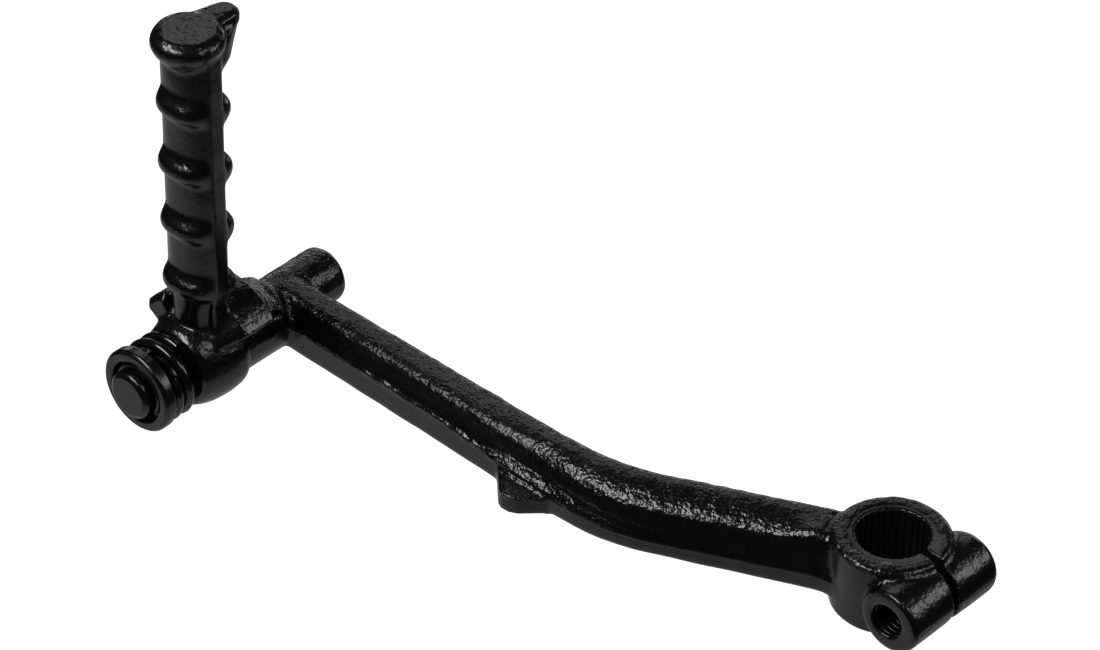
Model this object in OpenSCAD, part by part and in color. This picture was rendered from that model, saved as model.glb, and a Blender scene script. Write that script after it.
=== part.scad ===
// Kick start lever: a forged arm with a splined clamp, and a ribbed pedal that folds beside it.
// Z follows the splined bore and the pedal, X runs along the arm towards the clamp.
// The origin is the centre of the clamp's lower face, where the lever seats on its shaft.

/* [Arm] */
// distance from the splined bore back to the pedal's pivot, along the straight bar
reach = 149; // [130:1:180]
// distance from the splined bore to the middle of the straight bar, across it
side_step = 24.7; // [18:0.1:34]
// width of the bar beside the pivot
bar_w_pivot = 10; // [8:0.1:12]
// width of the bar where it starts to bend
bar_w_bend = 12.2; // [10:0.1:14]
// width of the bar beside the clamp
bar_w_clamp = 13.2; // [11:0.1:16]
// height of the straight bar
bar_h = 12.6; // [9:0.1:16]
// how much taller the bar has grown where it meets the clamp
bar_rise = 1.1; // [0:0.1:1.4]
// rounding of the bar's upper edges
bar_round = 2.5; // [1:0.1:3]
// how far the bar's upper front leans in from the forging's parting line
bar_draft = 1.7; // [0.3:0.1:2]
// angle of the bend, seen from above
bend_angle = 24.6; // [15:0.1:30]
// height of the pedal's pivot over the clamp's lower face
pivot_z = 9; // [8:0.1:12]

/* [Clamp] */
// radius of the spline's lands
bore_r = 7.5; // [6:0.05:9]
// depth of each spline groove
spline_depth = 0.45; // [0.2:0.05:0.7]
// number of spline grooves
spline_count = 32; // [20:1:40]
// outer radius of the clamp
head_r = 12.3; // [11:0.1:15]
// height of the clamp along the bore
head_h = 17; // [14:0.1:22]
// width of the slit
slit_w = 1.5; // [1:0.1:3]
// radius of the two ears about the pinch screw
ear_r = 7.1; // [6.5:0.1:9]
// distance from the bore to the pinch screw
screw_x = 10.1; // [9.8:0.1:13]
// distance that the ears stand outside the screw
ear_shift = 0.4; // [0:0.1:1]
// height of the pinch screw over the clamp's lower face
screw_z = 8.4; // [8:0.1:11]
// distance from the bore to the face of the tapped ear
ear_front = 13.8; // [12.5:0.1:17]
// distance from the bore to the face of the plain ear
ear_back = 13.2; // [12:0.1:17]
// radius of the tapped hole at the crests of its thread
tap_r = 3.4; // [2.5:0.05:4]
// radius of the plain hole in the other ear
screw_clear_r = 4.3; // [3.2:0.05:5]

/* [Pivot] */
// radius of the journal that the pedal turns on
journal_r = 5.5; // [4:0.05:7]
// distance from the washer's outer face to the end of the journal
journal_nose = 2.3; // [1:0.1:4]
// radius of the boss behind the pedal's hub
boss_r = 8.6; // [7.5:0.1:9]
// radius of the shoulder behind the pedal's skirt
shoulder_r = 10.4; // [9.5:0.1:14]
// radius of the plain stub on the far side
stub_r = 6.35; // [5:0.05:7]
// distance from the washer's outer face to the end of the stub
stub_end = 57.2; // [52:0.1:62]

/* [Washer] */
// outer radius of the washer
washer_r = 9.55; // [8:0.05:11]
// thickness of the washer
washer_t = 3.2; // [2.5:0.1:5]
// radius of the recess in the washer
recess_r = 7; // [6.8:0.05:7.6]
// depth of the recess in the washer
recess_depth = 2; // [1.6:0.1:2.3]
// thickness of the retaining ring's wire
clip_wire = 1.5; // [1:0.05:1.6]

/* [Spring] */
// thickness of the spring's wire
spring_wire = 2.4; // [2:0.05:2.5]
// radius of the spring at the middle of its wire
spring_mean_r = 8; // [7.4:0.05:8.3]
// turns of the spring
spring_turns = 1.9; // [1.6:0.05:1.95]

/* [Pedal] */
// distance from the washer's outer face to the hub
hub_front = 11.3; // [11.2:0.1:12.5]
// distance from the washer's outer face to the back of the hub
hub_back = 24.5; // [24:0.1:26]
// largest radius of the hub
hub_r = 10.5; // [10:0.1:11.2]
// distance from the washer's outer face to the middle of the stem
stem_y = 19.2; // [18.6:0.1:19.8]
// radius of the skirt over the hub
skirt_r = 14.8; // [13.5:0.1:16]
// distance from the washer's outer face to the back of the skirt
skirt_back = 30; // [28:0.1:30.2]
// height of the pedal's head over the pivot
pedal_h = 82.4; // [75:0.5:90]
// width of the stem across its trimmed sides
stem_w = 14.2; // [12:0.1:16]
// thickness of the stem between the ribs
stem_t = 10; // [8:0.1:11]
// height of the ribs over the stem
rib_h = 2; // [1:0.1:2.4]
// height of the lowest rib over the pivot
rib_low = 20.1; // [19.5:0.1:22]
// radius of the head's rounded front
head_round = 7.8; // [7:0.1:9]
// distance from the stem's middle to the tip of the head's horn
horn_out = 10.1; // [8.5:0.1:11]
// radius of the horn's tip
horn_r = 3.1; // [2.6:0.1:3.3]

/* [Hidden] */
run_clearance = 0.06;
face_clearance = 0.03;
black = [0.09, 0.09, 0.1];
steel = [0.25, 0.25, 0.27];
bar_mid = 42.6;
washer_y = -side_step - bar_mid + 1.2;
bar_back = bar_mid + bar_w_pivot / 2;

// puts its children on the pivot: Y along the pin from the washer's outer face
module at_pivot() {
  translate([-reach, washer_y, pivot_z]) children();
}

// turns a profile drawn as radius and distance along the pin into a solid round the pin
module about_pin(a0 = 0, sweep = 360) {
  rotate([-90, 0, 0])
    rotate([0, 0, a0 - 90])
      rotate_extrude(angle = sweep, $fn = 96) children();
}

// a plain cylinder along the pin
module pin_bar(r, y0, y1, fn = 96) {
  translate([0, y0, 0])
    rotate([-90, 0, 0])
      cylinder(r = r, h = y1 - y0, $fn = fn);
}

// the forged bar's section as points [side, height]: square up to the parting line at z, leaning in above it
low_round = 1.7;
back_lean = 0.9;
function bar_section(w, h, z, ledge, n = 6) = concat(
  [[w / 2, z]],
  [
    for (i = [0:n])
      let (a = 8 + 82 * i / n)
        [w / 2 - back_lean - bar_round * (1 - cos(a)), h / 2 - bar_round * (1 - sin(a))]
  ],
  [
    for (i = [n:-1:0])
      let (a = 20 + 70 * i / n)
        [bar_round * (1 - cos(a)) + max(bar_draft, ledge + 0.3) - w / 2, h / 2 - bar_round * (1 - sin(a))]
  ],
  [[ledge - w / 2, z + 0.9 * ledge], [-w / 2, z]],
  [
    for (i = [0:4])
      let (a = 90 * i / 4)
        [low_round * (1 - cos(a)) - w / 2, low_round * (1 - sin(a)) - h / 2]
  ],
  [
    for (i = [4:-1:0])
      let (a = 90 * i / 4)
        [w / 2 - low_round * (1 - cos(a)), low_round * (1 - sin(a)) - h / 2]
  ]
);
// the parting line runs lower along the leg than along the straight bar
// and the ledge over it widens to a sloping root above the rest
function ledge_at(x) = lookup(x, [[50, 0.35], [64, 0.5], [71, 1.8], [80, 2], [88, 1.6], [98, 0.9], [108, 0.35]]);
function parting_at(x) = bar_h * (0.03 - 0.19 * min(1, max(0, (x - bend_start + 36) / 48)));

// one closed ring of a soft oval
function oval_ring(a, b, e, n = 36) = [
  for (i = [0:n - 1])
    let (t = 360 * i / n, c = cos(t), s = sin(t))
      [a * sign(c) * pow(abs(c), 2 / e), b * sign(s) * pow(abs(s), 2 / e)]
];

// a skin over a list of rings that have the same number of points
module skin(rings) {
  n = len(rings[0]);
  m = len(rings);
  sides = [
    for (k = [0:m - 2])
      for (i = [0:n - 1])
        for (f = [0:1])
          let (j = (i + 1) % n, a = k * n + i, b = k * n + j, c = a + n, d = b + n)
            f == 0 ? [a, d, b] : [a, c, d]
  ];
  low = [for (i = [0:n - 1]) i];
  high = [for (i = [n - 1:-1:0]) (m - 1) * n + i];
  polyhedron(points = [for (ring = rings) each ring], faces = concat([low], sides, [high]));
}

// stations of the bar: front edge x and y, back edge x and y, height
bar_front = bar_mid - bar_w_pivot / 2;
bend_front = bar_back - bar_w_bend;
bend_start = reach - 62;
dir_x = cos(bend_angle);
dir_y = sin(bend_angle);
bore_y = bar_mid + side_step - 1.2;
function leg_point(back, side) = [
  reach - back * dir_x - side * dir_y,
  bore_y - back * dir_y + side * dir_x
];
bar_stations = [
  [-1, bar_front, -1, bar_back],
  [24, bar_front + (bend_front - bar_front) * 0.28, 24, bar_back],
  [52, bar_front + (bend_front - bar_front) * 0.6, 52, bar_back],
  [bend_start - 22, bar_front + (bend_front - bar_front) * 0.8, bend_start - 22, bar_back],
  [bend_start - 16, bar_front + (bend_front - bar_front) * 0.9, bend_start - 16, bar_back],
  [bend_start - 9, bend_front, bend_start - 9, bar_back]
];

// a point on the bend's curve between the straight bar and the leg
function curve(p0, p1, p2, t) = p0 * (1 - t) * (1 - t) + p1 * 2 * t * (1 - t) + p2 * t * t;
function meet(y, p) = [p[0] - (p[1] - y) / tan(bend_angle), y];
front_line = leg_point(20, -bar_w_clamp / 2);
back_line = leg_point(20, bar_w_clamp / 2);
front_knee = meet(bend_front, front_line);
back_knee = meet(bar_back, back_line);
knee_in = 11;
function knee_points(k, y) = [
  for (i = [0:6])
    curve([k[0] - knee_in, y], k, k + knee_in * [dir_x, dir_y], i / 6)
];
front_bend = knee_points(front_knee, bend_front);
back_bend = knee_points(back_knee, bar_back);

// the leg's last stations flare into the clamp: distance from the bore, and how far each side opens
flare = [[13.7, 0, 0.1], [11.9, 0.3, 0.4], [10.2, 1, 1.1], [8.8, 2.1, 2.1], [5, 2.4, 2.4]];
bar_path = concat(
  bar_stations,
  [for (i = [0:6]) [front_bend[i][0], front_bend[i][1], back_bend[i][0], back_bend[i][1]]],
  [[front_line[0], front_line[1], back_line[0], back_line[1]]],
  [
    for (e = flare)
      let (f = leg_point(e[0], -bar_w_clamp / 2 - e[1]), b = leg_point(e[0], bar_w_clamp / 2 + e[2]))
        [f[0], f[1], b[0], b[1]]
  ]
);

// the bar's section, stood across the line between its two edge points; its top rises towards the clamp
// and dips again where it runs into the collar
function rise_at(x) =
  bar_rise * min(1, max(0, (x - bend_start + 20) / 70)) - 0.8 * min(1, max(0, (x - reach + 12.6) / 2.2));
function bar_ring(s) =
  let (
    f = [s[0], s[1]],
    b = [s[2], s[3]],
    w = norm(b - f),
    d = (b - f) / w,
    mid = (f + b) / 2,
    rise = rise_at(mid[0])
  )
  [for (p = bar_section(w, bar_h + rise, parting_at(mid[0]), ledge_at(mid[0]))) [mid[0] + d[0] * p[0], mid[1] + d[1] * p[0], p[1] + rise / 2]];

module bar() {
  skin([for (s = bar_path) bar_ring(s)]);
}

// the flat rest that the folded pedal's head comes down on
module rest_lug() {
  translate([0, 0, -bar_h / 2 + 0.1])
    linear_extrude(height = 4.2)
      polygon([
        [68.9, bend_front + 3],
        [69.2, bend_front + 0.6],
        [73.9, bend_front - 4],
        [74.9, bend_front - 4.8],
        [76.2, bend_front - 5.1],
        [77.7, bend_front - 5],
        [79.2, bend_front - 4.3],
        [84.6, bend_front + 0.6],
        [86, bend_front + 3]
      ]);
}

// round boss, shoulder, journal and stub, all about the pin
module pivot_turning() {
  about_pin()
    polygon([
      [0, -journal_nose],
      [journal_r - 0.9, -journal_nose],
      [journal_r, -journal_nose + 0.7],
      [journal_r, hub_back + face_clearance],
      [boss_r - 0.3, hub_back + face_clearance],
      [boss_r, hub_back + face_clearance + 0.3],
      [boss_r, bar_front - 0.4],
      [stub_r, bar_front + 1.6],
      [stub_r, stub_end - 1.6],
      [stub_r - 0.5, stub_end - 0.5],
      [stub_r - 1.7, stub_end],
      [0, stub_end]
    ]);
}

module shoulder() {
  about_pin(-16, 70)
    polygon([
      [boss_r - 1, skirt_back + 0.4],
      [shoulder_r - 0.5, skirt_back + 0.4],
      [shoulder_r, skirt_back + 0.9],
      [shoulder_r, skirt_back + 2.2],
      [boss_r - 0.2, skirt_back + 6.6],
      [boss_r - 1, skirt_back + 6.6]
    ]);
}

module clip_groove() {
  about_pin()
    translate([clip_mean_r, clip_y])
      circle(r = clip_wire / 2 + 0.03, $fn = 32);
}
clip_y = recess_depth - clip_wire / 2 - 0.02;
clip_mean_r = journal_r + 0.25;

// the clamp's outside: collar, ears about the screw, and the block between them
module clamp_body() {
  rotate_extrude($fn = 96)
    polygon([
      [0, 0],
      [head_r - 0.8, 0],
      [head_r, 0.8],
      [head_r, head_h - 1.1],
      [head_r - 0.35, head_h - 0.35],
      [head_r - 1.1, head_h],
      [0, head_h]
    ]);
  translate([screw_x + ear_shift, 0, screw_z])
    rotate([-90, 0, 0])
      rotate_extrude($fn = 72)
        polygon([
          [0, -ear_front],
          [ear_r - 1, -ear_front],
          [ear_r - 0.3, -ear_front + 0.3],
          [ear_r, -ear_front + 1],
          [ear_r, ear_back - 1.7],
          [ear_r - 0.35, ear_back - 0.8],
          [ear_r - 1, ear_back - 0.2],
          [ear_r - 2, ear_back],
          [0, ear_back]
        ]);
  translate([0, -head_r + 2.6, 2.2])
    cube([screw_x, 2 * head_r - 5.2, screw_z + ear_r - 5.2]);
}

// the pinch screw's two holes, the slit and the splined bore
module clamp_cuts() {
  translate([0, 0, -1])
    cylinder(r = bore_r, h = head_h + 2, $fn = 96);
  for (i = [0:spline_count - 1])
    rotate([0, 0, 360 * (i + 0.5) / spline_count])
      translate([0, 0, -1])
        linear_extrude(height = head_h + 2)
          polygon([
            [bore_r - 0.5, -spline_half],
            [bore_r, -spline_half],
            [bore_r + spline_depth, -spline_half * 0.35],
            [bore_r + spline_depth, spline_half * 0.35],
            [bore_r, spline_half],
            [bore_r - 0.5, spline_half]
          ]);
  rotate([0, 0, -3])
    translate([0, 0.5 - slit_w / 2, -1])
      cube([screw_x + ear_r + 3, slit_w, head_h + 2]);
  translate([screw_x, -ear_front - 1, screw_z])
    rotate([-90, 0, 0])
      cylinder(r = tap_r, h = ear_front + 1, $fn = 64);
  translate([screw_x, -ear_front - 0.02, screw_z])
    rotate([-90, 0, 0])
      cylinder(r1 = tap_r + 0.7, r2 = tap_r, h = 0.8, $fn = 64);
  translate([screw_x, 0, screw_z])
    rotate([-90, 0, 0])
      cylinder(r = screw_clear_r, h = ear_back + 1, $fn = 64);
}
spline_half = 3.14159 * bore_r / spline_count * 0.56;

module arm() {
  color(black)
    difference() {
      union() {
        clamp_body();
        at_pivot() bar();
        at_pivot() rest_lug();
        at_pivot() pivot_turning();
        at_pivot() shoulder();
      }
      clamp_cuts();
      at_pivot() clip_groove();
    }
}

// ribs stand out from the stem's front and back as soft waves
rib_top = pedal_h - 17.6;
rib_pitch = (rib_top - rib_low) / 3;
rib_drop = 2;
// a rib's height at a distance above its crest: a round bead with a soft upper and a tight lower root
rib_form = [
  [-3.1, 0], [-2.75, 0.03], [-2.35, 0.22], [-1.9, 0.55], [-1.3, 0.81], [-0.6, 0.96], [0, 1],
  [0.7, 0.95], [1.4, 0.79], [2, 0.53], [2.5, 0.26], [3.1, 0.08], [3.9, 0]
];
function rib_at(z, k) = lookup(z - (rib_top - k * rib_pitch), rib_form);
function rib_sum(z) = rib_at(z, 0) + rib_at(z, 1) + rib_at(z, 2) + rib_at(z, 3);
stem_zs = concat(
  [3, 8, 11.5],
  [for (k = [3:-1:0]) for (d = [-5.3:0.5:4.2]) rib_top - k * rib_pitch + d],
  [pedal_h - 8, pedal_h - 3]
);
function stem_half_w(z) =
  z < 15 ? 5.2 + 0.1 * abs(z - 11) : min(stem_w / 2 - 0.3, 5.6 + (z - 15) * 0.35);

// the ribs at the stem's back stand lower and a little prouder than those at its front,
// and each runs out before it reaches the trimmed sides
function stem_point(p, z) =
  let (
    rise = p[1] < 0 ? rib_sum(z) : 1.25 * rib_sum(z + rib_drop),
    side = 0.14 * (1 - pow(min(1, abs(p[0]) / (stem_w / 2 - 0.3)), 4))
  )
  [p[0] * (1 + side * rise), p[1] * (1 + rib_h / stem_t * 2 * rise), z];

module stem() {
  translate([0, stem_y, 0])
    skin([for (z = stem_zs) [for (p = oval_ring(stem_half_w(z), stem_t / 2, 2.25)) stem_point(p, z)]]);
  translate([0, stem_y + 2.05, 0])
    rotate([90, 0, 0])
      linear_extrude(height = 4.2)
        polygon([
          [-stem_w / 2, 19],
          [-6.3, 14.3],
          [-6.6, 9],
          [-8.4, 3],
          [8.4, 3],
          [6.6, 9],
          [6.3, 14.3],
          [stem_w / 2, 19],
          [stem_w / 2, pedal_h - 4.8],
          [-stem_w / 2, pedal_h - 4.8]
        ]);
}

// the head: a domed round cap over the stem, and a horn that runs back from it
module cap_disc(x, y, r, top, h) {
  translate([x, y, pedal_h - top])
    cylinder(r = r, h = h, $fn = 40);
}

module pedal_head() {
  horn_y = stem_y + horn_out;
  hull() {
    cap_disc(0, stem_y - 0.6, head_round - 2.6, 7, 1);
    cap_disc(0, stem_y - 0.6, head_round - 0.7, 4.6, 1);
    cap_disc(0, stem_y - 0.6, head_round, 3.1, 1);
    cap_disc(-4.4, stem_y + 1.7, head_round - 3.9, 3.1, 1);
    cap_disc(-0.2, stem_y - 0.4, head_round - 0.5, 1.6, 0.7);
    cap_disc(-0.3, stem_y - 0.2, head_round - 1.9, 0.5, 0.5);
  }
  hull() {
    cap_disc(-2.3, stem_y + 1, head_round - 3.2, 5.2, 3.4);
    cap_disc(-2.3, stem_y + 1, head_round - 4, 1.8, 0.9);
    cap_disc(-0.4, horn_y, horn_r, 3.2, 2.2);
    cap_disc(-0.6, horn_y - 0.1, horn_r - 1.1, 1, 0.9);
  }
  hull() {
    cap_disc(-0.4, horn_y - 0.2, horn_r - 0.3, 4, 2);
    cap_disc(0.8, stem_y + 4.3, head_round - 3.4, 8.2, 4);
    cap_disc(-0.8, stem_y + 4, head_round - 3.4, 8.2, 4);
    cap_disc(0, stem_y + 0.6, head_round - 3.5, 13.5, 5);
  }
}

// hub with its skirt: the skirt reaches back over the boss, and has a longer ear on one side
module pedal_hub() {
  about_pin()
    polygon([
      [journal_r + run_clearance, hub_front],
      [hub_r - 2.1, hub_front],
      [hub_r - 1.8, hub_front + 0.25],
      [hub_r - 1.35, hub_front + 0.75],
      [hub_r - 0.95, hub_front + 1.7],
      [hub_r - 0.5, hub_front + 3.2],
      [hub_r - 0.2, hub_front + 4.9],
      [hub_r - 0.05, hub_front + 6.8],
      [hub_r, hub_front + 9],
      [hub_r - 0.25, hub_front + 11.6],
      [hub_r - 0.9, hub_back],
      [journal_r + run_clearance, hub_back]
    ]);
  about_pin(-52, 106)
    polygon([
      [boss_r + 0.6, hub_front + 4.4],
      [hub_r - 0.45, hub_front + 4.4],
      [skirt_r - 0.5, hub_front + 9.4],
      [skirt_r, hub_front + 10],
      [skirt_r, skirt_back - 0.5],
      [skirt_r - 0.5, skirt_back],
      [boss_r + 0.6, skirt_back]
    ]);
  about_pin(-54, 26)
    polygon([
      [boss_r, hub_front + 3.4],
      [skirt_r - 1, hub_front + 3.4],
      [skirt_r + 0.4, hub_front + 4.8],
      [skirt_r + 0.4, hub_front + 9.6],
      [skirt_r - 0.15, hub_front + 11.2],
      [boss_r, hub_front + 11.2]
    ]);
}

module pedal() {
  color(black)
    at_pivot()
      difference() {
        union() {
          pedal_hub();
          stem();
          pedal_head();
        }
        pin_bar(journal_r + run_clearance, 5, hub_back + 4);
        pin_bar(boss_r + 0.5, hub_back, skirt_back + 4);
      }
}

spring_y0 = washer_t + spring_wire / 2 + 0.03;
spring_y1 = hub_front - spring_wire / 2 - 0.03;
spring_steps = 56;

module spring() {
  color(steel)
    at_pivot()
      skin([
        for (i = [0:spring_steps])
          let (
            t = i / spring_steps,
            a = 35 + 360 * spring_turns * t,
            y = spring_y0 + (spring_y1 - spring_y0) * t
          )
          [
            for (j = [0:11])
              let (
                u = 30 * j,
                r = spring_mean_r + spring_wire / 2 * cos(u)
              )
              [r * cos(a), y + spring_wire / 2 * sin(u), r * sin(a)]
          ]
      ]);
}

module washer() {
  color(steel)
    at_pivot()
      about_pin()
        polygon([
          [journal_r + 0.1, recess_depth],
          [recess_r - 0.2, recess_depth],
          [recess_r, recess_depth - 0.2],
          [recess_r, 0.3],
          [recess_r + 0.3, 0],
          [washer_r - 0.6, 0],
          [washer_r, 0.6],
          [washer_r, washer_t - 0.5],
          [washer_r - 0.5, washer_t],
          [journal_r + 0.1, washer_t]
        ]);
}

module retaining_ring() {
  color(steel)
    at_pivot()
      about_pin(20, 318)
        translate([clip_mean_r, clip_y])
          circle(r = clip_wire / 2, $fn = 32);
}

arm();
pedal();
spring();
washer();
retaining_ring();
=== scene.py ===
# %% [markdown]
# A kick start lever is forged steel under thick glossy black enamel. The solids' own box is kept
# as it stands now, and the floor is set below it.

# %% Load the frame
import math

import bmesh
import bpy
import numpy as np
from mathutils import Matrix, Vector, noise


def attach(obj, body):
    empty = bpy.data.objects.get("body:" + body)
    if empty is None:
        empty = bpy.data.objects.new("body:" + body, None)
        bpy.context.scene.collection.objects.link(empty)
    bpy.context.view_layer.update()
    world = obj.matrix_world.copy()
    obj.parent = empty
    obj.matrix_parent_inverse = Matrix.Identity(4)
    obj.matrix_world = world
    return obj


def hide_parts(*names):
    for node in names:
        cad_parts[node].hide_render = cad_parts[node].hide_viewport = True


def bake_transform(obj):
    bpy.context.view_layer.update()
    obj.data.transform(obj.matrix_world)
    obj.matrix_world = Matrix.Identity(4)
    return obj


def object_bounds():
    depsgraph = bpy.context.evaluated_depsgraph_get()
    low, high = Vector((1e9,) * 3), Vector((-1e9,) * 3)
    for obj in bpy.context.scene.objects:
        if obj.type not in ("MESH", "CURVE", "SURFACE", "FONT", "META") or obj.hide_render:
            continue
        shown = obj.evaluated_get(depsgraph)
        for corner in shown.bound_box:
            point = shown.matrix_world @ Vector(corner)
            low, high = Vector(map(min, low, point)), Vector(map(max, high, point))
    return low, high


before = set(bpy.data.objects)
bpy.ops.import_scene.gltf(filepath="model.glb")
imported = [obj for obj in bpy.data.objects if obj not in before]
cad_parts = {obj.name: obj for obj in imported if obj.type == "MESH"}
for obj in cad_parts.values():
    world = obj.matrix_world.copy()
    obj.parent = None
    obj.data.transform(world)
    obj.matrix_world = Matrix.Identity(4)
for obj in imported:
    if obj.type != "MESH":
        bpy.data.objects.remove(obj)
solids_box = [list(corner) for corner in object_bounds()]


# %% [markdown]
# The lever is measured in millimetres by its maker, and Blender works in metres, so lengths are
# written in millimetres and multiplied by MM. The pivot is the pin at the pedal's end, and the
# splined bore stands on the origin. The screw sizes are those of the tapped hole in the clamp's
# front ear, and the journal is the turned pin that the pedal swings on.

# %% Sizes of the real thing
MM = 0.001
PIVOT = Vector((-149.0, -66.1, 9.0)) * MM
BORE_R = 7.5
BORE_WALL_R = 8.0
CLAMP_H = 17.0
SCREW_X = 10.1
SCREW_Z = 8.4
TAPPED_R = 3.8
EAR_FRONT = 13.8
JOURNAL_R = 6.2
JOURNAL_LENGTH = 26
pin = np.array(PIVOT) / MM
print("pivot at", tuple(round(v, 4) for v in PIVOT))


# %% [markdown]
# The camera stands where the photo was taken from: far off with a long lens, so that the lever
# hardly narrows with distance. A camera could be aimed by a Track To constraint, but here its
# place comes from two angles, a small roll and the distance, so that each can be read and
# changed on its own.

# %% Camera
AZIMUTH, ELEVATION, ROLL = math.radians(41.796), math.radians(38.158), math.radians(1.068)
DISTANCE = 1.040241
ASIDE, ABOVE = 0.0863, 0.0140
SENSOR_WIDTH, FOCAL_LENGTH = 36.0, 163.6


def put_in_scene(name, data):
    """A new object at the origin that holds the data."""
    thing = bpy.data.objects.new(name, data)
    bpy.context.scene.collection.objects.link(thing)
    return thing


back = Vector((
    math.sin(AZIMUTH) * math.cos(ELEVATION),
    -math.cos(AZIMUTH) * math.cos(ELEVATION),
    math.sin(ELEVATION),
))
level = Vector((math.cos(AZIMUTH), math.sin(AZIMUTH), 0.0))
upward = back.cross(level)
right = level * math.cos(ROLL) + upward * math.sin(ROLL)
up = upward * math.cos(ROLL) - level * math.sin(ROLL)
eye = PIVOT + right * ASIDE + up * ABOVE + back * DISTANCE

lens = bpy.data.cameras.new("photo_lens")
lens.sensor_width = SENSOR_WIDTH
lens.sensor_fit = "HORIZONTAL"
lens.lens = FOCAL_LENGTH
lens.clip_start = 0.05
lens.clip_end = 20.0
camera = put_in_scene("photo_camera", lens)
camera.matrix_world = Matrix((
    (right.x, up.x, back.x, eye.x),
    (right.y, up.y, back.y, eye.y),
    (right.z, up.z, back.z, eye.z),
    (0.0, 0.0, 0.0, 1.0),
))
bpy.context.scene.camera = camera
bpy.context.scene.view_settings.view_transform = "Standard"
print("camera at", tuple(round(v, 4) for v in eye))


# %% [markdown]
# Black gloss shows the room more than its own colour. Point lamps would leave hard dots on it,
# so all five lamps are soft rectangles, chosen for what they draw. A wide window high in front
# draws the bright lines along the bar's rolled edge and its parting line. Two on the right draw
# the rims of the clamp and the washer, a dim one behind greys the flat tops, and a low one
# behind lights the far edges. Each says where it stands, how far off, how big and how strong.

# %% Lamps
middle = Vector((-80.0, -40.0, 10.0)) * MM


def soft_lamp(name, direction, distance, wide, tall, watts):
    """A rectangular lamp that looks at the middle of the lever."""
    light = bpy.data.lights.new(name, "AREA")
    light.shape = "RECTANGLE"
    light.size = wide
    light.size_y = tall
    light.energy = watts
    lamp = put_in_scene(name, light)
    toward = Vector(direction).normalized()
    facing = toward.to_track_quat("Z", "Y").to_matrix().to_4x4()
    lamp.matrix_world = Matrix.Translation(middle + toward * distance) @ facing


soft_lamp("lamp_front_window", (-0.24, -0.56, 0.79), 1.2, 0.78, 0.36, 10.5)
soft_lamp("lamp_right_high", (0.68, 0.135, 0.72), 1.3, 0.50, 0.45, 2.2)
soft_lamp("lamp_right_back", (0.62, 0.60, 0.38), 1.3, 0.60, 0.45, 2.8)
soft_lamp("lamp_back_high", (-0.52, 0.59, 0.62), 1.4, 0.75, 0.60, 1.2)
soft_lamp("lamp_back_low", (-0.50, 0.83, 0.06), 1.3, 1.60, 0.40, 2.5)


# %% [markdown]
# The world is a dim room. One plain background would either light the black enamel to grey or
# leave the picture's background dark, so a Light Path node mixes two: the camera sees white,
# and everything else sees the dim room. Two small helpers add nodes and wire them, and every
# node tree below uses them.

# %% Room
ROOM_TINT = (0.30, 0.31, 0.32, 1)
ROOM_STRENGTH = 0.1
WHITE = (1, 1, 1, 1)


def add_node(tree, kind, values=None):
    """A new node, with constants on the sockets that are named."""
    node = tree.nodes.new(kind)
    for socket, value in (values or {}).items():
        node.inputs[socket].default_value = value
    return node


def wire(tree, *links):
    """Links, each written as giver, its output, taker, its input."""
    for giver, output, taker, socket in links:
        tree.links.new(giver.outputs[output], taker.inputs[socket])


world = bpy.data.worlds.new("quiet_room")
world.use_nodes = True
bpy.context.scene.world = world
room = world.node_tree
room.nodes.clear()
room_out = add_node(room, "ShaderNodeOutputWorld")
room_light = add_node(
    room, "ShaderNodeBackground", {"Color": ROOM_TINT, "Strength": ROOM_STRENGTH}
)
room_white = add_node(room, "ShaderNodeBackground", {"Color": WHITE, "Strength": 1.0})
room_ray = add_node(room, "ShaderNodeLightPath")
room_mix = add_node(room, "ShaderNodeMixShader")
wire(
    room,
    (room_ray, "Is Camera Ray", room_mix, "Fac"),
    (room_light, "Background", room_mix, 1),
    (room_white, "Background", room_mix, 2),
    (room_mix, "Shader", room_out, "Surface"),
)
print("room strength", ROOM_STRENGTH)


# %% [markdown]
# The floor is a round sheet of pale paper two hands' width below the lever, which in use hangs
# on its shaft. Upright faces mirror the paper as a smooth grey, and faces that lean back look
# past its rim into the dark room, which draws the forging's parting line. An endless plane
# would light both alike. Part of the paper's white is a glow that only the camera sees, and
# the soft shadow stays under that glow.

# %% Paper floor
PAPER_TONE, PAPER_GLOW = 0.62, 0.8
TABLE_DROP, TABLE_R = 0.17, 0.37
TABLE_MIDDLE = Vector((-200.0, 0.0, 0.0)) * MM
RIM_POINTS = 96

paper = bpy.data.materials.new("pale_paper")
paper.use_nodes = True
sheet = paper.node_tree
sheet.nodes.clear()
paper_out = add_node(sheet, "ShaderNodeOutputMaterial")
paper_face = add_node(
    sheet, "ShaderNodeBsdfDiffuse", {"Color": (PAPER_TONE, PAPER_TONE, PAPER_TONE, 1)}
)
paper_glow = add_node(sheet, "ShaderNodeEmission", {"Color": WHITE, "Strength": PAPER_GLOW})
paper_dark = add_node(sheet, "ShaderNodeEmission", {"Strength": 0.0})
paper_ray = add_node(sheet, "ShaderNodeLightPath")
paper_lift = add_node(sheet, "ShaderNodeMixShader")
paper_sum = add_node(sheet, "ShaderNodeAddShader")
wire(
    sheet,
    (paper_ray, "Is Camera Ray", paper_lift, "Fac"),
    (paper_dark, 0, paper_lift, 1),
    (paper_glow, 0, paper_lift, 2),
    (paper_face, 0, paper_sum, 0),
    (paper_lift, 0, paper_sum, 1),
    (paper_sum, 0, paper_out, "Surface"),
)

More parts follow.
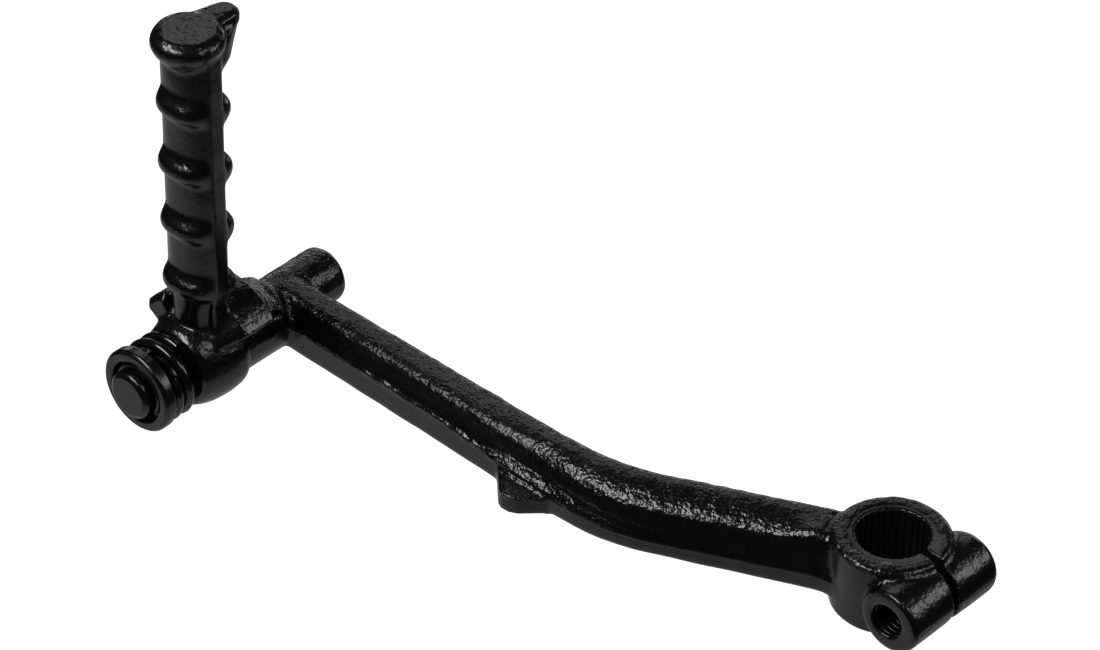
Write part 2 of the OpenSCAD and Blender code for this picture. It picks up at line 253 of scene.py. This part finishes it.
floor_z = solids_box[0][2] - TABLE_DROP
rim = [
    (TABLE_MIDDLE.x + TABLE_R * math.cos(turn), TABLE_MIDDLE.y + TABLE_R * math.sin(turn), floor_z)
    for turn in np.linspace(0.0, math.tau, RIM_POINTS, endpoint=False)
]
floor_mesh = bpy.data.meshes.new("floor")
floor_mesh.from_pydata(rim, [], [tuple(range(RIM_POINTS))])
floor = put_in_scene("floor", floor_mesh)
floor.data.materials.append(paper)
print("floor at", round(floor_z, 5))


# %% [markdown]
# Enamel over a forging isn't flat: the coat follows the scale of the steel beneath and breaks
# the highlights into grains. A picture of such a skin could be wrapped round the lever, but
# noise in the object's own coordinates has no seams and stays put when the pedal moves. These
# helpers make that noise, read a value that a mesh carries, and do sums with both.

# %% Noise and sums
def speckle(tree, size_mm, detail):
    place = add_node(tree, "ShaderNodeTexCoord")
    cloud = add_node(
        tree,
        "ShaderNodeTexNoise",
        {"Scale": 1000.0 / size_mm, "Detail": detail, "Roughness": 0.5},
    )
    tree.links.new(place.outputs["Object"], cloud.inputs["Vector"])
    return cloud.outputs["Fac"]


def carried(tree, name):
    node = add_node(tree, "ShaderNodeAttribute")
    node.attribute_name = name
    return node.outputs["Fac"]


def sums(tree, kind, a, b):
    node = add_node(tree, "ShaderNodeMath")
    node.operation = kind
    for socket, value in zip(node.inputs, (a, b)):
        if isinstance(value, float):
            socket.default_value = value
        else:
            tree.links.new(value, socket)
    return node.outputs[0]


print("noise helpers ready")


# %% [markdown]
# One function makes every black finish on the lever. The upper die leaves the roughest skin, so a
# mesh carries a value named grain, from 0 on a machined wall to 1 on a scaled face, and the bump
# is as deep as that value says. The gloss and the tone drift a little from place to place, and a
# second value makes the coat rougher and cuts its mirror. On the worn front edge that is wear. In
# the bore and the tapped hole it is painted shade, a darker reflection standing in for the shadow
# inside those deep holes.

# %% Enamel
DRIFT_OF_GLOSS = 0.06
# How much rougher and how much less mirroring the marked places get. In the bore and the tapped
# hole this darkening is painted shade.
DULL_ROUGHNESS, MIRROR_CUT_FOR_WEAR_AND_SHADE = 0.35, 0.4
PLAIN_MIRROR = 0.5


def enamel(name, tone, gloss, cell, depth, grained=True):
    finish = bpy.data.materials.new(name)
    finish.use_nodes = True
    tree = finish.node_tree
    tree.nodes.clear()
    out = add_node(tree, "ShaderNodeOutputMaterial")
    coat = add_node(tree, "ShaderNodeBsdfPrincipled", {"IOR": 1.52})
    tree.links.new(coat.outputs["BSDF"], out.inputs["Surface"])

    fine = sums(tree, "MULTIPLY", speckle(tree, cell, 1.0), 1.2)
    broad = speckle(tree, cell * 3.5, 2.0)
    height = sums(tree, "ADD", sums(tree, "MULTIPLY", broad, 1.2), fine)
    if grained:
        height = sums(tree, "MULTIPLY", height, carried(tree, "grain"))
    bump = add_node(tree, "ShaderNodeBump", {"Strength": 1.0, "Distance": depth * MM})
    tree.links.new(height, bump.inputs["Height"])
    tree.links.new(bump.outputs["Normal"], coat.inputs["Normal"])

    tones = add_node(tree, "ShaderNodeValToRGB")
    for stop, place, grey, blue in zip(
        tones.color_ramp.elements, (0.35, 0.7), (0.8, 1.3), (0.82, 1.33)
    ):
        stop.position = place
        stop.color = (tone * grey, tone * grey, tone * blue, 1)
    tree.links.new(speckle(tree, cell * 15.0, 2.0), tones.inputs["Fac"])
    tree.links.new(tones.outputs["Color"], coat.inputs["Base Color"])

    # Rougher, less mirroring places: wear on the rolled front edge, painted shade in the bore and
    # the tapped hole.
    dull_and_shade = carried(tree, "dull_and_shade")
    sheen = add_node(
        tree,
        "ShaderNodeMapRange",
        {"To Min": gloss - DRIFT_OF_GLOSS / 2, "To Max": gloss + DRIFT_OF_GLOSS},
    )
    tree.links.new(broad, sheen.inputs["Value"])
    duller = sums(tree, "MULTIPLY", dull_and_shade, DULL_ROUGHNESS)
    rough = sums(tree, "ADD", sheen.outputs["Result"], duller)
    tree.links.new(rough, coat.inputs["Roughness"])
    mirror = sums(tree, "SUBTRACT", PLAIN_MIRROR, sums(tree, "MULTIPLY", dull_and_shade, MIRROR_CUT_FOR_WEAR_AND_SHADE))
    tree.links.new(mirror, coat.inputs["Specular IOR Level"])
    return finish


print("enamel recipe ready")


# %% [markdown]
# Five finishes come from the recipe: the arm's scaled coat, the pedal's smoother one, a darker
# black inside the bore that mirrors less, partly its bare broached steel and partly painted shade
# of the deep hole, the thin even coat on turned steel, and the spring's oiled oxide.

# %% Finishes
cast_enamel = enamel("cast_enamel", 0.002, 0.23, 0.8, 0.17)
pedal_enamel = enamel("pedal_enamel", 0.002, 0.22, 1.0, 0.17)
# Painted shade: the bore's finish is darker and mirrors less, standing in for the shadow deep in
# the bore.
bore_shade_black = enamel("bore_shade_black", 0.001, 0.45, 0.5, 0.02, grained=False)
turned_black = enamel("turned_black", 0.003, 0.22, 0.8, 0.02, grained=False)
spring_black = enamel("spring_black", 0.003, 0.15, 0.5, 0.010, grained=False)
print("finishes", [m.name for m in bpy.data.materials])


# %% [markdown]
# A forging has no knife edges: inside corners carry fillets and outside edges are rolled over.
# A Bevel modifier would need clean edge loops, which a solid from a CAD program doesn't have,
# so the solid's skin is remade as one even net of small quads. The solid's own mesh is left
# alone, and a copy of it is merged first.

# %% Remake a skin
def merged_copy(node):
    net = bmesh.new()
    net.from_mesh(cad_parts[node].data)
    bmesh.ops.remove_doubles(net, verts=net.verts, dist=2e-6)
    mesh = bpy.data.meshes.new(node + "_skin")
    net.to_mesh(mesh)
    net.free()
    return mesh


def even_net(mesh, cell):
    holder = put_in_scene("holder", mesh)
    remesh = holder.modifiers.new("remesh", "REMESH")
    remesh.mode = "VOXEL"
    remesh.voxel_size = cell
    remesh.adaptivity = 0.0
    graph = bpy.context.evaluated_depsgraph_get()
    even = bpy.data.meshes.new_from_object(holder.evaluated_get(graph))
    bpy.data.objects.remove(holder)
    return even


print("net tools ready")


# %% [markdown]
# A net of a hundred thousand points is too much for a loop in Python, so its points and normals
# go to numpy in one piece and come back in one piece. On the way back they are held a
# hundredth of a millimetre inside the solid's own box, so that no lump grows past the true size.

# %% Points of a net
INSIDE = 1e-5


def points_of(mesh):
    flat = np.empty(len(mesh.vertices) * 3)
    mesh.vertices.foreach_get("co", flat)
    return flat.reshape(-1, 3)


def put_points(mesh, points, node=None):
    if node:
        solid = points_of(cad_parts[node].data)
        points = np.clip(points, solid.min(axis=0) + INSIDE, solid.max(axis=0) - INSIDE)
    mesh.vertices.foreach_set("co", points.reshape(-1))
    mesh.update()


def normals_of(mesh):
    flat = np.empty(len(mesh.vertices) * 3, dtype=np.float32)
    mesh.vertex_normals.foreach_get("vector", flat)
    return flat.reshape(-1, 3).astype(float)


def mark(mesh, name, values):
    """A value at each point, which a finish can read by its name."""
    layer = mesh.attributes.new(name, "FLOAT", "POINT")
    layer.data.foreach_set("value", np.ascontiguousarray(values, dtype=np.float32))


print("point tools ready")


# %% [markdown]
# Relaxing moves each point towards the middle of its neighbours. Where that lifts the skin it
# fills a hollow, and where it sinks the skin it wears a ridge. A Smooth modifier treats both
# alike and shrinks the part, so here hollows are pulled more than ridges, which is what a
# fillet is, and places that were machined are held back.

# %% Relax a net
STEP_SHARE = 0.6


def relax(mesh, rounds, hold, ridge=0.3, hollow=1.0):
    ends = np.empty(len(mesh.edges) * 2, dtype=np.int32)
    mesh.edges.foreach_get("vertices", ends)
    ends = ends.reshape(-1, 2)
    count = len(mesh.vertices)
    degree = np.bincount(ends.ravel(), minlength=count).clip(1)
    points = points_of(mesh)
    for step in range(rounds):
        total = np.empty_like(points)
        for axis in range(3):
            total[:, axis] = np.bincount(ends[:, 0], points[ends[:, 1], axis], count)
            total[:, axis] += np.bincount(ends[:, 1], points[ends[:, 0], axis], count)
        pull = total / degree[:, None] - points
        if step % 4 == 0:
            put_points(mesh, points)
            outward = normals_of(mesh)
        lift = np.einsum("ij,ij->i", pull, outward)
        share = np.where(lift > 0, hollow, ridge) * hold
        points = points + STEP_SHARE * share[:, None] * pull
    put_points(mesh, points)


print("relax ready")


# %% [markdown]
# Three more helpers finish a piece. Lumps are smooth noise at the points of a net, with a seed
# of their own. Smoothly is a soft step from 0 to 1 that fades one effect into the next, and
# finished gives a mesh its coat, its body, its slot and the solid that it stands for.

# %% Finish a piece
def lumps(points, size, depth, seed):
    shift = Vector((seed * 7.1, seed * 3.3, seed * 5.7))
    return np.array([noise.noise(Vector(p) / size + shift) for p in points]) * depth


def smoothly(value, low, high):
    t = np.clip((value - low) / (high - low), 0, 1)
    return t * t * (3 - 2 * t)


def about(points, x, z):
    """How far each point is from a line along y through x and z."""
    return np.hypot(points[:, 0] - x, points[:, 2] - z)


def finished(name, mesh, finish, body, stands_for):
    mesh.materials.clear()
    mesh.materials.append(finish)
    mesh.polygons.foreach_set("use_smooth", [True] * len(mesh.polygons))
    mesh.polygons.foreach_set("material_index", [0] * len(mesh.polygons))
    piece = put_in_scene(name, mesh)
    if body:
        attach(piece, body)
    if stands_for:
        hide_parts(stands_for)
    triangles = sum(len(p.vertices) - 2 for p in mesh.polygons)
    print(name, "triangles", triangles)
    return piece


print("finishing tools ready")


# %% [markdown]
# The arm is one forging from clamp to stub. It could be sculpted by hand, but then it would
# drift from its true size, so its net follows the solid. The bore, the tapped hole and the
# journal are held while the rest is relaxed, because a tool cut them after forging.

# %% Arm net
ARM_CELL = 0.40
HELD = 0.3

arm_mesh = even_net(merged_copy("arm"), ARM_CELL * MM)
points = points_of(arm_mesh) / MM


def on_journal(points):
    near = about(points, pin[0], pin[2]) < JOURNAL_R
    return near & (points[:, 1] < pin[1] + JOURNAL_LENGTH)


in_tapped = (about(points, SCREW_X, SCREW_Z) < 5.0) & (points[:, 1] < -0.5)
hold = np.ones(len(points))
hold[np.hypot(points[:, 0], points[:, 1]) < 9.2] = HELD
hold[in_tapped | on_journal(points)] = HELD
relax(arm_mesh, 9, hold)
print("arm net", len(arm_mesh.vertices), "points")


# %% [markdown]
# Three lines run along the bar: its front, its rear and the parting line, where the two dies
# met. They are measured on the net, one station a millimetre, so that the effects that follow
# them stay on the bar when its shape is changed.

# %% Lines along the bar
BAR_START, BAR_END = -134.0, -11.0


def evened(values, span=7):
    """A moving average, so that single points of the net leave no steps in a line."""
    padded = np.pad(np.array(values), span // 2, mode="edge")
    return np.convolve(padded, np.ones(span) / span, mode="valid")


points = points_of(arm_mesh) / MM
stations = np.arange(BAR_START, BAR_END, 1.0)
front, rear, parting = [], [], []
for x in stations:
    ring = points[(np.abs(points[:, 0] - x) < 0.6) & (points[:, 2] > 6.0)]
    upper = ring[ring[:, 2] > 10.0]
    front.append(upper[:, 1].min())
    rear.append(upper[:, 1].max())
    parting.append(ring[ring[:, 1] < ring[:, 1].min() + 0.25, 2].max())
front, rear, parting = (evened(values) for values in (front, rear, parting))
centre = np.interp(points[:, 0], stations, (front + rear) / 2)
from_rear = np.interp(points[:, 0], stations, rear) - points[:, 1]
line = np.interp(points[:, 0], stations, parting) + 0.15
print("parting line at", [round(float(z), 1) for z in parting[::12]])


# %% [markdown]
# The top's front edge is rolled over far more than the rear one, most of all past the stop lug,
# and the ledge there is nearly ground away. Both come from many more rounds of relaxing, each
# kept to its own place by soft steps along the bar, across it and up it.

# %% Worn edge and ledge
def before_clamp(points):
    return smoothly(-points[:, 0], 12, 20)


on_bar = smoothly(points[:, 2], 10.2, 12.0) * before_clamp(points)
on_bar *= smoothly(points[:, 0], -132, -122)
worn = 0.25 + 0.75 * smoothly(points[:, 0], -92, -70)
relax(arm_mesh, 110, on_bar * worn * smoothly(from_rear, 4.5, 7.5), ridge=1.0)

points = points_of(arm_mesh) / MM
ledge = np.exp(-((points[:, 2] - line - 0.5) / 0.9) ** 2) * (points[:, 1] < centre)
past_lug = smoothly(points[:, 0], -67, -64)
relax(arm_mesh, 30, ledge * past_lug * before_clamp(points), ridge=1.0)
print("edge rolled at", int((on_bar > 0.5).sum()), "points")


# %% [markdown]
# A drill leaves a truer hole than any net of small squares. The walls of the bore and of the
# tapped hole are set back to one radius, which also clears room for the teeth and the thread.

# %% True walls
points = points_of(arm_mesh) / MM
from_bore = np.hypot(points[:, 0], points[:, 1])
wall = (from_bore < 8.3) & (points[:, 2] > 0.5) & (points[:, 2] < CLAMP_H - 0.5)
points[wall, :2] *= (BORE_WALL_R / from_bore[wall])[:, None]
from_screw = about(points, SCREW_X, SCREW_Z)
tapped = (from_screw < 4.0) & (points[:, 1] < -1.2) & (points[:, 1] > -EAR_FRONT + 0.7)
for axis, middle_of in ((0, SCREW_X), (2, SCREW_Z)):
    offset = points[tapped, axis] - middle_of
    points[tapped, axis] = middle_of + offset * TAPPED_R / from_screw[tapped]
put_points(arm_mesh, points * MM)
print("true walls at", int(wall.sum()), "and", int(tapped.sum()), "points")


# %% [markdown]
# Now the skin. Broad lumps a few millimetres across are pushed into the mesh, a ragged line of
# flash stands on the parting line, and scale has gathered where the boss meets the bar. The
# clamp's ears were dressed, so they are smoother than the bar. All of this is real geometry,
# so that it shows on the edges as well, and only the finest grain is left to the finish.

# %% Arm skin
outward = normals_of(arm_mesh)
cut = np.where(wall | tapped, 0.0, smoothly(np.hypot(points[:, 0], points[:, 1]), 8.4, 10.0))
cut[on_journal(points)] = 0.05
scaled = 0.4 * smoothly(outward[:, 2], 0.02, 0.14) + 0.85 * smoothly(outward[:, 2], 0.25, 0.6)
scaled = np.clip(scaled + 0.25 * lumps(points, 5.0, 1.0, 8) * (scaled > 0.02), 0, 1.3)
scaled *= 1 - 0.5 * smoothly(points[:, 0], 5, 9)
push = lumps(points, 7.0, 0.10, 1) + lumps(points, 2.0, 0.10, 2) * (0.1 + scaled)
junction = np.exp(-((points - np.array((-138.8, -32.8, 15.5))) ** 2).sum(axis=1) / 3.2 ** 2)
push += lumps(points, 1.7, 0.7, 9) * junction
flash = np.exp(-((points[:, 2] - line) / 0.4) ** 2) * (outward[:, 1] < -0.4)
flash *= smoothly(points[:, 0], -130, -120) * smoothly(-points[:, 0], 78, 82)
push += flash * (0.16 + lumps(points, 1.5, 0.35, 10))
points += outward * (push * cut)[:, None]
print("deepest lump", round(float(np.abs(push * cut).max()), 2), "mm")


# %% [markdown]
# Past the lug the worn edge also lies lower than the rest of the top, so the points there sink by
# up to a little over a millimetre. Then the mesh is marked with its grain and with the places that
# mirror less, which are worn on the front edge and painted shade in the bore and the tapped hole,
# and becomes the arm.

# %% Rolled edge
ROLL_DEPTH = 1.2

rolled = smoothly(points[:, 0], -84, -70) * smoothly(-points[:, 0], 12, 22)
rolled *= smoothly(points[:, 2], 9.5, 14.5)
points[:, 2] -= ROLL_DEPTH * rolled * smoothly(from_rear, 4.0, 11.5)
put_points(arm_mesh, points * MM, "arm")
mark(arm_mesh, "grain", (0.08 + 0.92 * scaled) * np.maximum(cut, 0.05))
front_edge = on_bar * smoothly(from_rear, 5.0, 8.0) * smoothly(-points[:, 0], 66, 84)
# The bore wall and the tapped hole mirror less as painted shade. The rolled front edge is a little
# duller as wear.
mark(arm_mesh, "dull_and_shade", wall * 1.0 + tapped * 0.7 + 0.22 * front_edge)
finished("arm_forging", arm_mesh, cast_enamel, "arm", "arm")


# %% [markdown]
# The pedal is a casting, and its stem was finished smoother than the arm, so that a boot slides
# along it. Rings and a web could be built one by one and joined, but the solid already holds
# them, so it is remade like the arm. Its net is finer, because its ribs are small, and its
# lumps and grain are shallower on the stem.

# %% Pedal
PEDAL_CELL = 0.34

pedal_mesh = even_net(merged_copy("pedal"), PEDAL_CELL * MM)
points = points_of(pedal_mesh) / MM
hold = np.where(about(points, pin[0], pin[2]) < 6.4, HELD, 1.0)
relax(pedal_mesh, 9, hold, ridge=0.5)
points = points_of(pedal_mesh) / MM
outward = normals_of(pedal_mesh)
scaled = smoothly(outward[:, 2], 0.1, 0.45)
push = lumps(points, 7.0, 0.10, 3) + lumps(points, 2.2, 0.05, 4) * (0.3 + scaled)
points += outward * push[:, None]
put_points(pedal_mesh, points * MM, "pedal")
mark(pedal_mesh, "grain", 0.12 + 0.5 * scaled + 0.35 * smoothly(outward[:, 2], 0.8, 0.97))
finished("pedal_casting", pedal_mesh, pedal_enamel, "pedal", "pedal")


# %% [markdown]
# The spring, the retaining ring and the screw's thread are each one bar bent along a line. A
# Screw modifier could make each of them, but one node tree makes all three: a spiral, swept by
# a small round or three-sided profile. Its sizes are named inputs, so the same tree bends a
# thick spring or a fine thread.

# %% Bent bar tree
def bent_bar_tree():
    tree = bpy.data.node_groups.new("bent_bar", "GeometryNodeTree")
    tree.interface.new_socket("Geometry", in_out="OUTPUT", socket_type="NodeSocketGeometry")
    sizes = (
        ("Turns", 2.0, "NodeSocketFloat"), ("Radius", 0.008, "NodeSocketFloat"),
        ("Rise", 0.006, "NodeSocketFloat"), ("Bar", 0.001, "NodeSocketFloat"),
        ("Sides", 16, "NodeSocketInt"), ("Steps", 48, "NodeSocketInt"),
        ("Start", 0.0, "NodeSocketFloat"), ("Place", (0.0, 0.0, 0.0), "NodeSocketVector"),
        ("Finish", None, "NodeSocketMaterial"),
    )
    for name, value, kind in sizes:
        socket = tree.interface.new_socket(name, in_out="INPUT", socket_type=kind)
        if value is not None:
            socket.default_value = value
    given = add_node(tree, "NodeGroupInput")
    spiral = add_node(tree, "GeometryNodeCurveSpiral", {"Reverse": True})
    profile = add_node(tree, "GeometryNodeCurvePrimitiveCircle")
    sweep = add_node(tree, "GeometryNodeCurveToMesh", {"Fill Caps": True})
    turn = add_node(tree, "ShaderNodeCombineXYZ")
    start = add_node(tree, "GeometryNodeTransform")
    lay = add_node(tree, "GeometryNodeTransform", {"Rotation": (-math.pi / 2, 0.0, 0.0)})
    real = add_node(tree, "GeometryNodeRealizeInstances")
    paint = add_node(tree, "GeometryNodeSetMaterial")
    done = add_node(tree, "NodeGroupOutput")
    wire(
        tree,
        (given, "Steps", spiral, "Resolution"), (given, "Turns", spiral, "Rotations"),
        (given, "Radius", spiral, "Start Radius"), (given, "Radius", spiral, "End Radius"),
        (given, "Rise", spiral, "Height"), (given, "Sides", profile, "Resolution"),
        (given, "Bar", profile, "Radius"), (spiral, "Curve", sweep, "Curve"),
        (profile, "Curve", sweep, "Profile Curve"), (sweep, "Mesh", start, "Geometry"),
        (given, "Start", turn, "Z"), (turn, "Vector", start, "Rotation"),
        (start, "Geometry", lay, "Geometry"), (given, "Place", lay, "Translation"),
        (lay, "Geometry", real, "Geometry"), (real, "Geometry", paint, "Geometry"),
        (given, "Finish", paint, "Material"), (paint, "Geometry", done, "Geometry"),
    )
    return tree


bent_bar = bent_bar_tree()
inputs = [item.name for item in bent_bar.interface.items_tree if item.in_out == "INPUT"]
print("bent bar inputs", inputs)


# %% [markdown]
# So the tree is grown on a spare object, its result is taken as a mesh, and the modifier
# goes. The ends are merged and the normals turned outwards, because a sweep can come out
# inside out.

# %% Grow a mesh from a tree
def grown(tree, name, sizes, start_mesh=None):
    holder = put_in_scene(name + "_holder", start_mesh or bpy.data.meshes.new(name + "_seed"))
    modifier = holder.modifiers.new("tree", "NODES")
    modifier.node_group = tree
    for item in tree.interface.items_tree:
        if item.in_out == "INPUT" and item.name in sizes:
            modifier[item.identifier] = sizes[item.name]
    graph = bpy.context.evaluated_depsgraph_get()
    mesh = bpy.data.meshes.new_from_object(holder.evaluated_get(graph))
    holder.modifiers.remove(modifier)
    bpy.data.objects.remove(holder)
    net = bmesh.new()
    net.from_mesh(mesh)
    bmesh.ops.remove_doubles(net, verts=net.verts, dist=1e-7)
    bmesh.ops.recalc_face_normals(net, faces=net.faces)
    net.to_mesh(mesh)
    net.free()
    mesh.name = name
    return mesh


print("growing ready")


# %% [markdown]
# The spring is two fat turns of wire between the washer and the pedal's hub. When the pedal is
# pulled out along its pin the turns close up. Here the piece stands on no body, and the spring's
# solid is hidden.

# %% Spring
WIRE = 2.4
SEAT_GAP = 0.03
WASHER_INNER, HUB_FACE = 3.2, 11.3

spring_low = WASHER_INNER + WIRE / 2 + SEAT_GAP
spring_high = HUB_FACE - WIRE / 2 - SEAT_GAP
spring_mesh = grown(bent_bar, "coil_spring", {
    "Turns": 1.9, "Radius": 8.0 * MM, "Rise": (spring_high - spring_low) * MM,
    "Bar": WIRE / 2 * MM, "Sides": 20, "Steps": 56, "Start": math.radians(-35),
    "Place": PIVOT + Vector((0, spring_low, 0)) * MM, "Finish": spring_black,
})
spring = finished("coil_spring", spring_mesh, spring_black, None, None)
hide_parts("spring")
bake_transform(spring)


# %% [markdown]
# The retaining ring is the same bar bent once round, flat and open by a small gap. It sits in
# the journal's groove and keeps the washer on.

# %% Retaining ring
RING_SWEEP = 318

ring_mesh = grown(bent_bar, "retaining_ring_wire", {
    "Turns": RING_SWEEP / 360, "Radius": 5.75 * MM, "Rise": 0.0, "Bar": 0.75 * MM,
    "Sides": 20, "Steps": 72, "Start": math.radians(70),
    "Place": PIVOT + Vector((0, 1.23, 0)) * MM, "Finish": turned_black,
})
finished("retaining_ring_wire", ring_mesh, turned_black, "arm", "retaining_ring")


# %% [markdown]
# The pinch screw's thread winds along the tapped hole. A bump in the finish would look flat at
# the hole's mouth, so it is a real crest: the same bar with a three-sided profile, one edge
# towards the hole's middle, and one turn for each pitch of the screw.

# %% Thread
THREAD_PITCH = 1.25
THREAD_LENGTH = EAR_FRONT - 2.0

thread_mesh = grown(bent_bar, "pinch_thread", {
    "Turns": THREAD_LENGTH / THREAD_PITCH, "Radius": 3.72 * MM, "Rise": THREAD_LENGTH * MM,
    "Bar": 0.42 * MM, "Sides": 3, "Steps": 40, "Start": 0.0,
    "Place": Vector((SCREW_X, -EAR_FRONT + 0.95, SCREW_Z)) * MM, "Finish": turned_black,
})
finished("pinch_thread", thread_mesh, turned_black, "arm", None)


# %% [markdown]
# The bore's fine splines grip the shaft. One tooth is a short bar, wide at its root and narrow
# at its tip, with its tip cut back at both ends as a broach leaves it. It is modelled once,
# from four outlines joined by faces.

# %% One tooth
TEETH = 32
TOOTH_ROOT_R = 8.35
TOOTH_ENDS = ((0.25, 0.3), (0.6, 0.0), (CLAMP_H - 0.6, 0.0), (CLAMP_H - 0.25, 0.3))


def tooth_mesh():
    net = bmesh.new()
    pitch = math.tau * BORE_R / TEETH
    half_tip, half_root = pitch * 0.2, pitch * 0.46
    layers = []
    for z, trim in TOOTH_ENDS:
        tip, root = BORE_R + trim, TOOTH_ROOT_R
        layers.append([
            net.verts.new(Vector((x, y, z)) * MM)
            for x, y in ((tip, -half_tip), (root, -half_root), (root, half_root), (tip, half_tip))
        ])
    for low, high in zip(layers, layers[1:]):
        for i in range(4):
            net.faces.new((low[i], low[(i + 1) % 4], high[(i + 1) % 4], high[i]))
    net.faces.new(layers[0][::-1])
    net.faces.new(layers[-1])
    bmesh.ops.recalc_face_normals(net, faces=net.faces)
    mesh = bpy.data.meshes.new("one_tooth")
    net.to_mesh(mesh)
    net.free()
    return mesh


one_tooth = tooth_mesh()
print("one tooth", len(one_tooth.polygons), "faces")


# %% [markdown]
# The teeth repeat round a circle. An Array modifier with an empty as its guide could do it, but
# a second tree needs no guide: it sets one tooth on each point of a tiny circle, turned to face
# the middle, and leaves out the first, where the slit runs.

# %% Teeth round the bore
def round_set_tree():
    tree = bpy.data.node_groups.new("set_round_a_bore", "GeometryNodeTree")
    face = tree.interface
    face.new_socket("Geometry", in_out="OUTPUT", socket_type="NodeSocketGeometry")
    face.new_socket("Geometry", in_out="INPUT", socket_type="NodeSocketGeometry")
    count = face.new_socket("Count", in_out="INPUT", socket_type="NodeSocketInt")
    count.default_value = TEETH
    face.new_socket("Finish", in_out="INPUT", socket_type="NodeSocketMaterial")
    given = add_node(tree, "NodeGroupInput")
    ring = add_node(tree, "GeometryNodeMeshCircle", {"Radius": 1e-6})
    index = add_node(tree, "GeometryNodeInputIndex")
    share = add_node(tree, "ShaderNodeMath")
    share.operation = "DIVIDE"
    angle = add_node(tree, "ShaderNodeMath", {1: math.tau})
    angle.operation = "MULTIPLY"
    turn = add_node(tree, "ShaderNodeCombineXYZ")
    beyond = add_node(tree, "FunctionNodeCompare")
    beyond.data_type = "INT"
    beyond.operation = "GREATER_THAN"
    whole = [i for i in beyond.inputs if i.type == "INT"]
    whole[1].default_value = 0
    place = add_node(tree, "GeometryNodeInstanceOnPoints")
    real = add_node(tree, "GeometryNodeRealizeInstances")
    paint = add_node(tree, "GeometryNodeSetMaterial")
    done = add_node(tree, "NodeGroupOutput")
    tree.links.new(index.outputs[0], whole[0])
    wire(
        tree,
        (given, "Count", ring, "Vertices"), (index, 0, share, 0), (given, "Count", share, 1),
        (share, 0, angle, 0), (angle, 0, turn, "Z"), (turn, 0, place, "Rotation"),
        (ring, "Mesh", place, "Points"), (beyond, 0, place, "Selection"),
        (given, "Geometry", place, "Instance"), (place, 0, real, 0),
        (real, 0, paint, "Geometry"), (given, "Finish", paint, "Material"),
        (paint, 0, done, 0),
    )
    return tree


teeth_sizes = {"Count": TEETH, "Finish": bore_shade_black}
teeth_mesh = grown(round_set_tree(), "bore_splines", teeth_sizes, one_tooth)
# Every tooth mirrors less: painted shade deep in the bore.
mark(teeth_mesh, "dull_and_shade", np.ones(len(teeth_mesh.vertices)))
finished("bore_splines", teeth_mesh, bore_shade_black, "arm", None)


# %% [markdown]
# The washer is turned steel with broken edges. Its solid is already true, so its net is made
# fine and relaxed only a little, enough to roll the edges over as the coat does.

# %% Washer
WASHER_CELL = 0.2

washer_mesh = even_net(merged_copy("washer"), WASHER_CELL * MM)
relax(washer_mesh, 2, np.ones(len(washer_mesh.vertices)), ridge=0.6, hollow=0.6)
finished("turned_washer", washer_mesh, turned_black, "arm", "washer")
